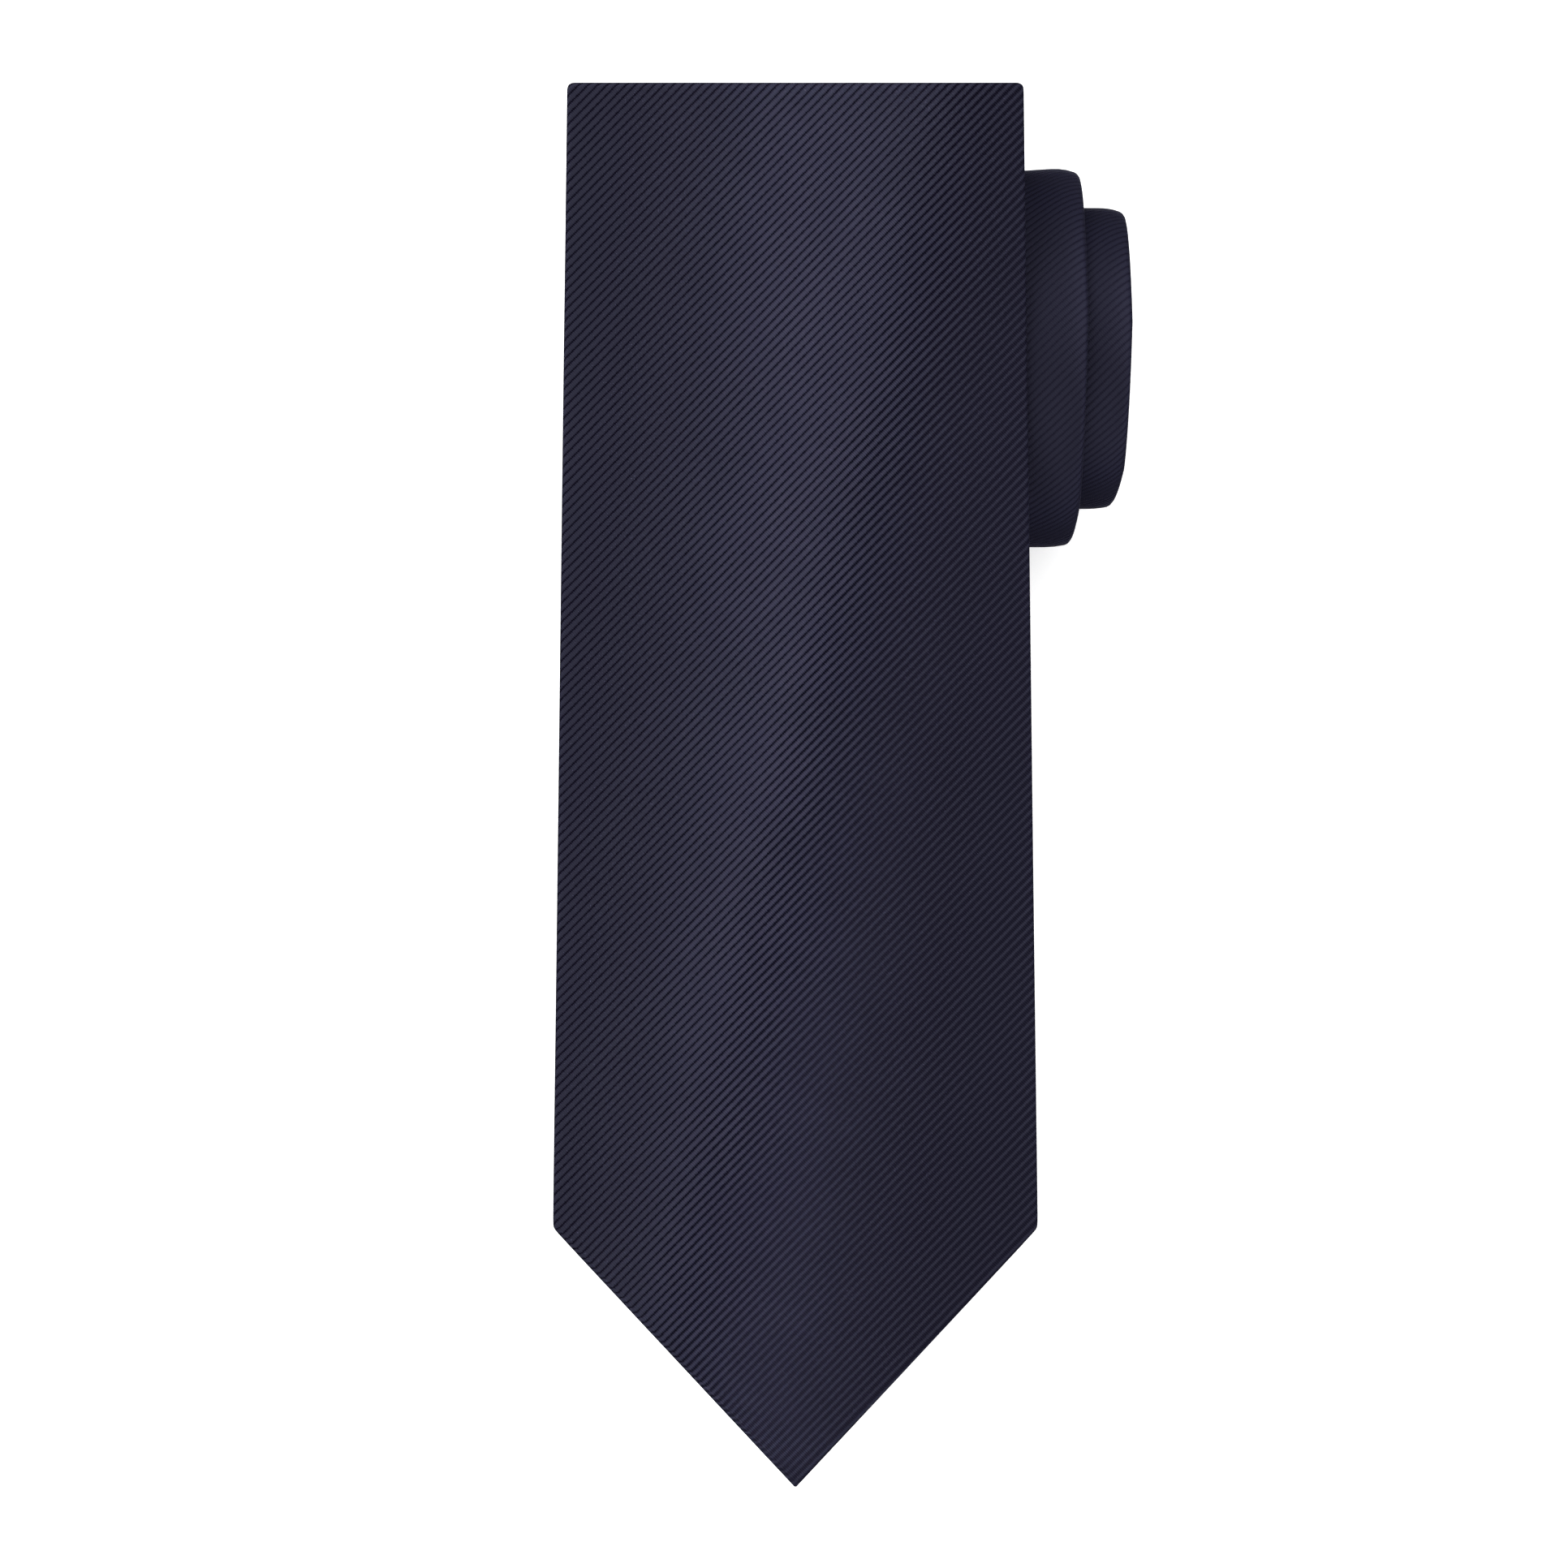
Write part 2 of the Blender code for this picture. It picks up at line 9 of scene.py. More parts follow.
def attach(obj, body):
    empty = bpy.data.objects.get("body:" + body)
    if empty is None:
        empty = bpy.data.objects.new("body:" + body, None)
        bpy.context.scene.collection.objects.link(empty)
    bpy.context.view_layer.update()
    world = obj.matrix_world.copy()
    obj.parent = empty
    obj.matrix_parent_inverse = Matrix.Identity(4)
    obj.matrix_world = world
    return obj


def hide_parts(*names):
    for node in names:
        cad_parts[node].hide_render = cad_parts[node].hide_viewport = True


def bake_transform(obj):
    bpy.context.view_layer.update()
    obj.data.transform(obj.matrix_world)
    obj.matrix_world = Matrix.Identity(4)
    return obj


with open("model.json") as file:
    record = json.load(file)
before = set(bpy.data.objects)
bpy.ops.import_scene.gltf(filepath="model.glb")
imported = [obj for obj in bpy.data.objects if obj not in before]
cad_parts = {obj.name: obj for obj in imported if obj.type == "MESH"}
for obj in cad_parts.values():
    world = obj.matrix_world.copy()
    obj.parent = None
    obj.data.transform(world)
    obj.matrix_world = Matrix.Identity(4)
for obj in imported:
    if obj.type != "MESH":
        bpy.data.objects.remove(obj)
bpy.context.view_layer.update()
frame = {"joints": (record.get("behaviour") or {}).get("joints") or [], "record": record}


# ---- Wool interlining -------------------------------------------------------------------------
# A bias-cut strip of brushed wool, 0.7 mm thick, that gives the tie its body.  It runs the whole
# length inside the folded silk, a little narrower than the tie.  The strip is rolled up from the
# tail, so its path is settled here, and all the other cloth lies along the same path.

def mount(name):
    return next(m for m in frame["record"]["mounts"] if m["name"] == name)


def joint(name):
    return next(j for j in frame["joints"] if j["name"] == name)


crease = Vector(joint("front_blade_lift")["pos_m"])
blade_normal = Vector(mount("blade_face")["axis"]).normalized()
blade_up = Vector((0.0, blade_normal.z, -blade_normal.y))
roll_middle = mount("table_rest")["pos_m"][1]
tie_middle = crease.x

THICKNESS = 0.0020        # of the made-up tie
SILK = 0.00035
INTERLINING = 0.0007
BLADE_LENGTH = 0.2469
POINT_LENGTH = 0.0456     # from the point to the shoulders
SHOULDER_HALF = 0.0425    # half of the width, here and below
CREASE_HALF = 0.0398
NECK_HALF = 0.0175
TAIL_HALF = 0.0210
TAIL_POINT = 0.0200
FIRST_DEPTH = 0.0345      # half of the first turn, along Y
FIRST_TOP = 0.0585
SECOND_DEPTH = 0.0280
SECOND_DROP = 0.0045
THIRD_DEPTH = 0.0246
THIRD_DROP = 0.0030
PITCH = 0.0023            # from one turn of the core to the next
CREASE_TURN = -0.75       # turns are counted from the front of the first one, at 0
FIRST_TURN = -0.5         # where the straight stretch down from the crease ends
LAST_TURN = 9.75
REST_SAG = 0.0030         # how much of a turn's underside is flattened where it rests
FRONT_IN = (0.0012, 0.0025, 0.0012)     # how much the front of each turn is pressed in
NECK_TURN = 2.0           # where the front silk is joined to the neck
TAIL_TURN = 4.0
RIGHT_EDGE = [(-0.50, 0.0393), (-0.25, 0.0440), (-0.05, 0.0488), (0.05, 0.0502), (0.25, 0.0514),
              (0.45, 0.0507), (0.55, 0.0510), (0.75, 0.0545), (0.95, 0.0566), (1.05, 0.0582),
              (1.25, 0.0593), (1.50, 0.0586), (1.75, 0.0576), (2.00, 0.0565)]
CORE_CENTRE = 0.0375
CREASE_ROUND = 0.0010     # the outside of the pressed crease
CREASE_PAST_HINGE = 0.0004
BLADE_SAG = 0.0015        # how far the blade hangs between the roll and the table
BLADE_SAG_END = 0.185     # from the point to where the blade lies on the roll
CROWN = 0.0020            # how far the blade's middle stands above its edges
CROWN_RISE = 0.070        # the length over which the crown grows from the point
CROWN_FALL = 0.090        # and over which it dies out before the crease
EDGE_DROOP = 0.0010       # how far the edges of the outer turns bend in
DROOP_REACH = 0.0050      # how far from the edge that begins
EDGE_FLARE = 0.0006       # how far the first turn's right edge stands out at the back
PATH_STEP = 0.00025
EASED_STEPS = 25          # the path is evened out over this many of its steps


def turn_bottom(turn):
    """How high a turn lies above the table at the bottom of the roll."""
    place = turn + 0.25
    nearest = round(place)
    flat = 1 / 16
    off = place - nearest
    rise = math.copysign(max(0.0, abs(off) - flat) * 0.5 / (0.5 - flat), off)
    return max(0.0, (nearest + rise) * PITCH)


def turn_top(turn):
    """How high a turn reaches at the top of the roll."""
    third = FIRST_TOP - SECOND_DROP - THIRD_DROP
    if turn > 2.25:
        return third - (turn - 2.25) * PITCH
    return np.interp(turn, [0.25, 1.25, 2.25], [FIRST_TOP, FIRST_TOP - SECOND_DROP, third])


def turn_half_depth(turn):
    """Half of a turn's size from front to back."""
    if turn > 2.0:
        return THIRD_DEPTH - (turn - 2.0) * PITCH
    return np.interp(turn, [FIRST_TURN, 0.0, 0.5, 1.0, 1.5, 2.0],
                     [FIRST_DEPTH + PITCH, FIRST_DEPTH, FIRST_DEPTH, SECOND_DEPTH, SECOND_DEPTH,
                      THIRD_DEPTH])


def turn_point(turn):
    """The tie's face side in the roll, as y and z."""
    angle = 2 * math.pi * (turn + 0.75)
    bottom = turn_bottom(turn)
    top = turn_top(turn)
    sag = REST_SAG * (top - bottom) / FIRST_TOP
    z = (top + bottom - sag) / 2 + (top - bottom + sag) / 2 * math.cos(angle)
    pressed = FRONT_IN[min(2, max(0, round(turn)))] * max(0.0, -math.sin(angle))
    return roll_middle + turn_half_depth(turn) * math.sin(angle) + pressed, max(bottom, z)


def strip_path():
    """The face side of the tie from the point to the tail: y, z, inward y, inward z, s, turn."""
    top = Vector((0.0, crease.y, crease.z)) + blade_up * CREASE_PAST_HINGE
    point = top - blade_up * BLADE_LENGTH
    first = Vector((0.0, *turn_point(FIRST_TURN)))
    down = (first - top).normalized()
    half_corner = (-blade_up).angle(down) / 2
    tangent = CREASE_ROUND / math.tan(half_corner)
    bisector = (down - blade_up).normalized()
    centre = top + bisector * CREASE_ROUND / math.sin(half_corner)
    points = []
    turns = []
    blade_points = 480
    for i in range(blade_points):
        s = (BLADE_LENGTH - tangent) * i / blade_points
        points.append(Vector((0.0, point.y, point.z)) + blade_up * s)
        turns.append(-1.0)
    swing = math.pi - 2 * half_corner
    arc_steps = 12
    for i in range(arc_steps + 1):
        turned = swing * i / arc_steps
        out = blade_normal * math.cos(turned) + blade_up * math.sin(turned)
        points.append(centre + out * CREASE_ROUND)
        turns.append(CREASE_TURN)
    start = top + down * tangent
    down_steps = 60
    for i in range(1, down_steps):
        points.append(start.lerp(first, i / down_steps))
        turns.append(CREASE_TURN + (FIRST_TURN - CREASE_TURN) * i / down_steps)
    points_per_turn = 720
    count = round((LAST_TURN - FIRST_TURN) * points_per_turn)
    for i in range(count + 1):
        turn = FIRST_TURN + (LAST_TURN - FIRST_TURN) * i / count
        points.append(Vector((0.0, *turn_point(turn))))
        turns.append(turn)
    place = np.array([(p.y, p.z) for p in points])
    length = np.concatenate([[0.0], np.cumsum(np.linalg.norm(np.diff(place, axis=0), axis=1))])
    even = np.arange(0.0, length[-1], PATH_STEP)
    place = np.stack([np.interp(even, length, place[:, 0]), np.interp(even, length, place[:, 1])])
    turns = np.interp(even, length, turns)
    window = np.ones(EASED_STEPS) / EASED_STEPS
    eased = place.copy()
    for row in (0, 1):
        for _ in range(2):
            padded = np.pad(eased[row], EASED_STEPS // 2, mode="edge")
            eased[row] = np.convolve(padded, window, mode="valid")
    uneased = 0.010           # the path stays sharp this far from the crease
    share = np.clip((np.abs(even - BLADE_LENGTH) - uneased) / uneased, 0, 1)
    end_steps = 40
    share[-end_steps:] = 0.0
    share[:end_steps] = 0.0
    place = place * (1 - share) + eased * share
    s = np.clip(even / BLADE_SAG_END, 0, 1)
    sag = BLADE_SAG * np.sin(math.pi * s) ** 2 * (even < BLADE_SAG_END)
    place[0] -= blade_normal.y * sag
    place[1] -= blade_normal.z * sag
    along = np.gradient(place, axis=1)
    along /= np.linalg.norm(along, axis=0)
    inward = np.stack([along[1], -along[0]])
    middle = place + inward * THICKNESS / 2
    steps = np.linalg.norm(np.diff(middle, axis=1), axis=0)
    # Round the crease the face side is measured, because the middle hardly moves there.
    at_crease = np.abs(even[1:] - BLADE_LENGTH) < 4 * CREASE_ROUND
    steps[at_crease] = np.diff(even)[at_crease]
    distance = np.concatenate([[0.0], np.cumsum(steps)])
    return place[0], place[1], inward[0], inward[1], distance, turns


PATH = strip_path()
PATH_S = PATH[4]
LENGTH = float(PATH_S[-1])


def turn_at(s):
    return float(np.interp(s, PATH_S, PATH[5]))


def distance_at(turn):
    return float(np.interp(turn, PATH[5], PATH_S))


CREASE_AT = (distance_at(CREASE_TURN - 0.001) + distance_at(CREASE_TURN + 0.001)) / 2
NECK_SEAM = distance_at(NECK_TURN)
TAIL_SEAM = distance_at(TAIL_TURN)
LINING_NARROWER = 0.0012
CORNER_ROUND = 0.0004     # how far the corners of the crease are drawn in
CORNER_REACH = 0.0007
SHOULDER_ROUND = 0.0004


def half_width(s):
    """Half of the tie's width at a distance from the front blade's point."""
    taper = (SHOULDER_HALF - CREASE_HALF) / (CREASE_AT - POINT_LENGTH)
    corner = CORNER_ROUND * math.exp(-(((s - CREASE_AT) / CORNER_REACH) ** 2))
    if s < CREASE_AT:
        pointed = SHOULDER_HALF * max(s, 0.0) / POINT_LENGTH
        straight = SHOULDER_HALF - taper * (s - POINT_LENGTH)
        return (pointed + straight - math.hypot(pointed - straight, SHOULDER_ROUND)) / 2 - corner
    if s < NECK_SEAM:
        span = NECK_SEAM - CREASE_AT
        t = (s - CREASE_AT) / span
        start = (2 * t**3 - 3 * t**2 + 1) * CREASE_HALF - corner
        return start + (t**3 - 2 * t**2 + t) * -taper * span + (3 * t**2 - 2 * t**3) * NECK_HALF
    if s < TAIL_SEAM:
        return NECK_HALF
    shoulder = LENGTH - TAIL_POINT
    if s < shoulder:
        return NECK_HALF + (TAIL_HALF - NECK_HALF) * (s - TAIL_SEAM) / (shoulder - TAIL_SEAM)
    return TAIL_HALF * (1 - 0.9 * (s - shoulder) / TAIL_POINT)


def centre_line(s):
    """Where the middle of the strip lies across X: it creeps to the right round the roll."""
    turn = turn_at(s)
    if turn < FIRST_TURN:
        share = max(0, turn - CREASE_TURN) / (FIRST_TURN - CREASE_TURN)
        return (RIGHT_EDGE[0][1] - half_width(distance_at(FIRST_TURN))) * share
    if turn < NECK_TURN:
        edge = np.interp(turn, [t for t, _ in RIGHT_EDGE], [e for _, e in RIGHT_EDGE])
        return float(edge) - half_width(s)
    return float(np.interp(turn, [NECK_TURN, NECK_TURN + 1],
                           [RIGHT_EDGE[-1][1] - NECK_HALF, CORE_CENTRE]))


CREASE_THINNED = 0.42     # the share of its thickness that the tie loses at the crease
CREASE_THINNED_REACH = 0.0045
SEAM_THINNED = 0.30
SEAM_THINNED_REACH = 0.0007
END_THINNED_REACH = 0.0014


def press(s, depth):
    """The depth where the tie is pressed thin: at the crease, and in a groove along each seam."""
    crease_share = 1 - CREASE_THINNED * math.exp(
        -(((s - CREASE_AT) / CREASE_THINNED_REACH) ** 2))
    near_seam = min(abs(s - NECK_SEAM), abs(s - TAIL_SEAM))
    seam_share = 1 - SEAM_THINNED * math.exp(-((near_seam / SEAM_THINNED_REACH) ** 2))
    tip_share = math.sqrt(min(1.0, max(0.02, min(s, LENGTH - s) / END_THINNED_REACH)))
    return (THICKNESS / 2 + (depth - THICKNESS / 2) * seam_share * tip_share) * crease_share


def ease(share):
    """A soft step from 0 to 1."""
    share = min(1.0, max(0.0, share))
    return share * share * (3 - 2 * share)


def bow(s, x):
    """How far a part of the width lies below the path: the blade's middle stands proud of it,
    and the outer turns bend in along their edges, most of all at the top of the roll."""
    if s < CREASE_AT:
        high = CROWN * ease(s / CROWN_RISE) * ease((CREASE_AT - 0.002 - s) / CROWN_FALL)
        return high * (min(1.0, abs(x) / half_width(max(s, 0.001))) ** 2.2 - 1)
    turn = turn_at(s)
    free = 0.8 * (1 + math.cos(2 * math.pi * (turn - 0.25))) * ease((NECK_TURN - turn) * 3)
    free = min(1.0, free) * ease((turn + 0.6) * 5)
    near_edge = max(0.0, (abs(x) - half_width(s) + DROOP_REACH) / DROOP_REACH)
    flare = EDGE_FLARE * ease(1 - 4 * abs(turn - 0.5)) * ease((x / half_width(s) - 0.5) * 2.5)
    return EDGE_DROOP * free * near_edge ** 2.5 - flare


def on_strip(s, x, depth):
    """The world place of a point of the strip."""
    y, z, inward_y, inward_z = (np.interp(s, PATH_S, PATH[i]) for i in range(4))
    size = math.hypot(inward_y, inward_z)
    deep = press(s, depth) + bow(s, x)
    return (tie_middle + centre_line(s) + x, y + inward_y / size * deep,
            z + inward_z / size * deep)


def rows_between(start, end):
    """Distances for the rows of a cloth: closer together where the strip bends sharply."""
    rows = [start]
    while rows[-1] < end - 1e-6:
        s = rows[-1]
        step = 0.0024
        if abs(s - CREASE_AT) < 0.0025:
            step = 0.0002
        elif abs(s - CREASE_AT) < 0.006:
            step = 0.0005
        elif min(abs(s - NECK_SEAM), abs(s - TAIL_SEAM)) < 0.003:
            step = 0.0004
        elif s > CREASE_AT + 0.03:
            radius = max(0.004, turn_half_depth(turn_at(s)) - THICKNESS)
            step = min(0.0024, radius * 0.085)
        elif s < 0.002:
            step = 0.0002
        elif s < 0.004 or abs(s - POINT_LENGTH) < 0.002:
            step = 0.0004
        rows.append(min(end, s + step))
    return rows


def lay_cloth(name, rows, columns, fold):
    """A flat grid of cloth whose vertices are moved to where the made-up cloth lies.

    fold(s) gives, for each column, the place across, the depth and the flat coordinates."""
    bpy.ops.object.select_all(action="DESELECT")
    bpy.ops.mesh.primitive_grid_add(x_subdivisions=columns - 1, y_subdivisions=len(rows) - 1)
    cloth = bpy.context.object
    cloth.name = name
    places = []
    flats = []
    for s in rows:
        for x, depth, u, v in fold(s):
            places.append(on_strip(s, x, depth))
            flats.append((u, v))
    cloth.data.vertices.foreach_set("co", np.array(places, np.float32).ravel())
    flats = np.array(flats)
    index = np.zeros(len(cloth.data.loops), np.int32)
    cloth.data.loops.foreach_get("vertex_index", index)
    cloth.data.uv_layers[0].data.foreach_set("uv", flats[index].astype(np.float32).ravel())
    cloth.data.update()
    cloth.matrix_world.identity()
    bpy.ops.object.shade_smooth()
    return cloth


def declare_cut(rows, fold):
    """Works out a folded sheet's widths at the size it was cut to, on the flat, and does nothing
    more with them.
    """
    widths = [fold(s)[-1][2] - fold(s)[0][2] for s in rows]


def thicken(cloth, thickness):
    """Gives a sheet its thickness, half to each side, and applies it."""
    bpy.ops.object.select_all(action="DESELECT")
    cloth.select_set(True)
    bpy.context.view_layer.objects.active = cloth
    solid = cloth.modifiers.new("thickness", "SOLIDIFY")
    solid.thickness = thickness
    solid.offset = 0.0
    bpy.ops.object.modifier_apply(modifier=solid.name)
    bpy.ops.object.shade_smooth_by_angle(angle=math.radians(40))


def linear(hex_colour):
    """A node colour from an sRGB hex colour."""
    values = [int(hex_colour[i:i + 2], 16) / 255 for i in (1, 3, 5)]
    return (*(v / 12.92 if v <= 0.04045 else ((v + 0.055) / 1.055) ** 2.4 for v in values), 1.0)


def add(tree, kind, links=None, values=None, **settings):
    """Adds a node, sets its properties and socket values, and links its inputs."""
    node = tree.nodes.new(kind)
    for key, value in settings.items():
        setattr(node, key, value)
    for key, value in (values or {}).items():
        node.inputs[key].default_value = value
    for key, source in (links or {}).items():
        tree.links.new(source, node.inputs[key])
    return node


def new_material(name):
    made = bpy.data.materials.new(name)
    made.use_nodes = True
    return made, made.node_tree, made.node_tree.nodes["Principled BSDF"]


def brushed_wool():
    """Brushed wool: matt, cream, with a soft felted grain and no gloss."""
    made, tree, shader = new_material("cream_brushed_wool")
    place = add(tree, "ShaderNodeTexCoord")
    grain = add(tree, "ShaderNodeTexNoise", {"Vector": place.outputs["Object"]},
                {"Scale": 1400.0, "Detail": 4.0})
    tone = add(tree, "ShaderNodeMix", {"Factor": grain.outputs["Fac"]}, data_type="RGBA")
    tone.inputs["A"].default_value = linear("#b9ad94")
    tone.inputs["B"].default_value = linear("#e2d8c4")
    bump = add(tree, "ShaderNodeBump", {"Height": grain.outputs["Fac"]},
               {"Strength": 0.6, "Distance": 0.0002})
    tree.links.new(tone.outputs["Result"], shader.inputs["Base Color"])
    tree.links.new(bump.outputs["Normal"], shader.inputs["Normal"])
    shader.inputs["Roughness"].default_value = 0.95
    shader.inputs["Sheen Weight"].default_value = 0.2
    return made


wool = brushed_wool()
BLADE_PIECE_PAST_CREASE = 0.0250
BLADE_PIECE_END = CREASE_AT + BLADE_PIECE_PAST_CREASE
NECK_BEND_TURNS = 0.20    # on each side of the neck seam
NECK_BEND_START = distance_at(NECK_TURN - NECK_BEND_TURNS)
NECK_BEND_END = distance_at(NECK_TURN + NECK_BEND_TURNS)


def bend_at_crease(piece):
    """Bakes the piece's transform into its mesh; the piece stays where it was laid."""
    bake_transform(piece)


def shear_at_neck(piece):
    """Bakes the piece's transform into its mesh; the piece stays where it was laid."""
    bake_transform(piece)


def lining_fold(s):
    """Across the interlining: one flat layer in the middle of the tie's thickness."""
    half = max(0.0004, half_width(s) - LINING_NARROWER)
    return [(half * i / 6, THICKNESS / 2, half * i / 6, s) for i in range(-6, 7)]


def make_lining(name, node, start, end, hold):
    """One length of the interlining, attached to its body by hold, or only baked in place."""
    rows = rows_between(start, end)
    piece = lay_cloth(name, rows, 13, lining_fold)
    piece.data.materials.append(wool)
    thicken(piece, INTERLINING)
    hold(piece)
    if node:
        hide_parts(node)
    declare_cut(rows, lining_fold)


def on_roll(piece):
    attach(piece, "roll")


def on_core(piece):
    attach(piece, "inner_roll")


LINING_FROM_POINT = 0.012
LINING_FROM_TAIL = 0.008
make_lining("wool_interlining_blade", "interlining_blade", LINING_FROM_POINT, BLADE_PIECE_END,
            bend_at_crease)
make_lining("wool_interlining_turns", "interlining_turns", BLADE_PIECE_END, NECK_BEND_START,
            on_roll)
make_lining("wool_interlining_neck", None, NECK_BEND_START, NECK_BEND_END, shear_at_neck)
make_lining("wool_interlining_core", "interlining_core", NECK_BEND_END,
            LENGTH - LINING_FROM_TAIL, on_core)


# ---- Silk envelope ----------------------------------------------------------------------------
# Navy silk woven with a fine diagonal rib, cut on the bias in three lengths: front, neck, tail.
# Each is folded round the interlining so that its two edges meet down the middle of the back.
# Below the bar tack the flaps part in a V, and the hem is turned over behind the point.

HEM = 0.0090
FLAP_OPENING = 0.0850     # from the point to where the flaps meet
TAIL_OPENING = 0.0450
SEAM_GAP = 0.00025        # from the middle of the back to each flap's edge
point_angle = math.atan2(SHOULDER_HALF, POINT_LENGTH)


def flap_edge(s):
    """How far each back flap's edge stands from the middle."""
    half = half_width(s)
    hem_edge = half - HEM / math.cos(point_angle)
    if s < POINT_LENGTH:
        opened = hem_edge
    else:
        widest = SHOULDER_HALF - HEM / math.cos(point_angle)
        opened = widest * (FLAP_OPENING - s) / (FLAP_OPENING - POINT_LENGTH)
    if s > LENGTH - TAIL_OPENING:
        opened = min(half * 0.6, (s - LENGTH + TAIL_OPENING) * 0.5)
    return max(SEAM_GAP, opened)


def silk_fold(s):
    """Across the silk: left flap, rolled edge, face, rolled edge, right flap."""
    half = max(0.00012, half_width(s))
    rise = (THICKNESS - SILK) / 2
    roll = min(rise, 0.45 * half)
    flat = half - roll
    flap = min(flap_edge(s), flat * 0.98)
    turned = point_angle if s < POINT_LENGTH else 0.0
    over = Vector((math.cos(turned), -math.sin(turned))) * math.cos(turned)
    side = []
    for i in range(1, 21):
        x = flat * i / 20
        side.append((x, SILK / 2, x, s))
    for i in range(1, 7):
        angle = math.pi * i / 6
        x = flat + roll * math.sin(angle)
        out = roll * angle
        side.append((x, SILK / 2 + rise * (1 - math.cos(angle)), flat + over.x * out,
                     s + over.y * out))
    for i in range(1, 13):
        x = flat - (flat - flap) * i / 12
        out = 2 * (half - x) + (math.pi - 2) * roll
        side.append((x, THICKNESS - SILK / 2, x + over.x * out, s + over.y * out))
    left = [(-x, depth, -u, v) for x, depth, u, v in reversed(side)]
    return left + [(0.0, SILK / 2, 0.0, s)] + side


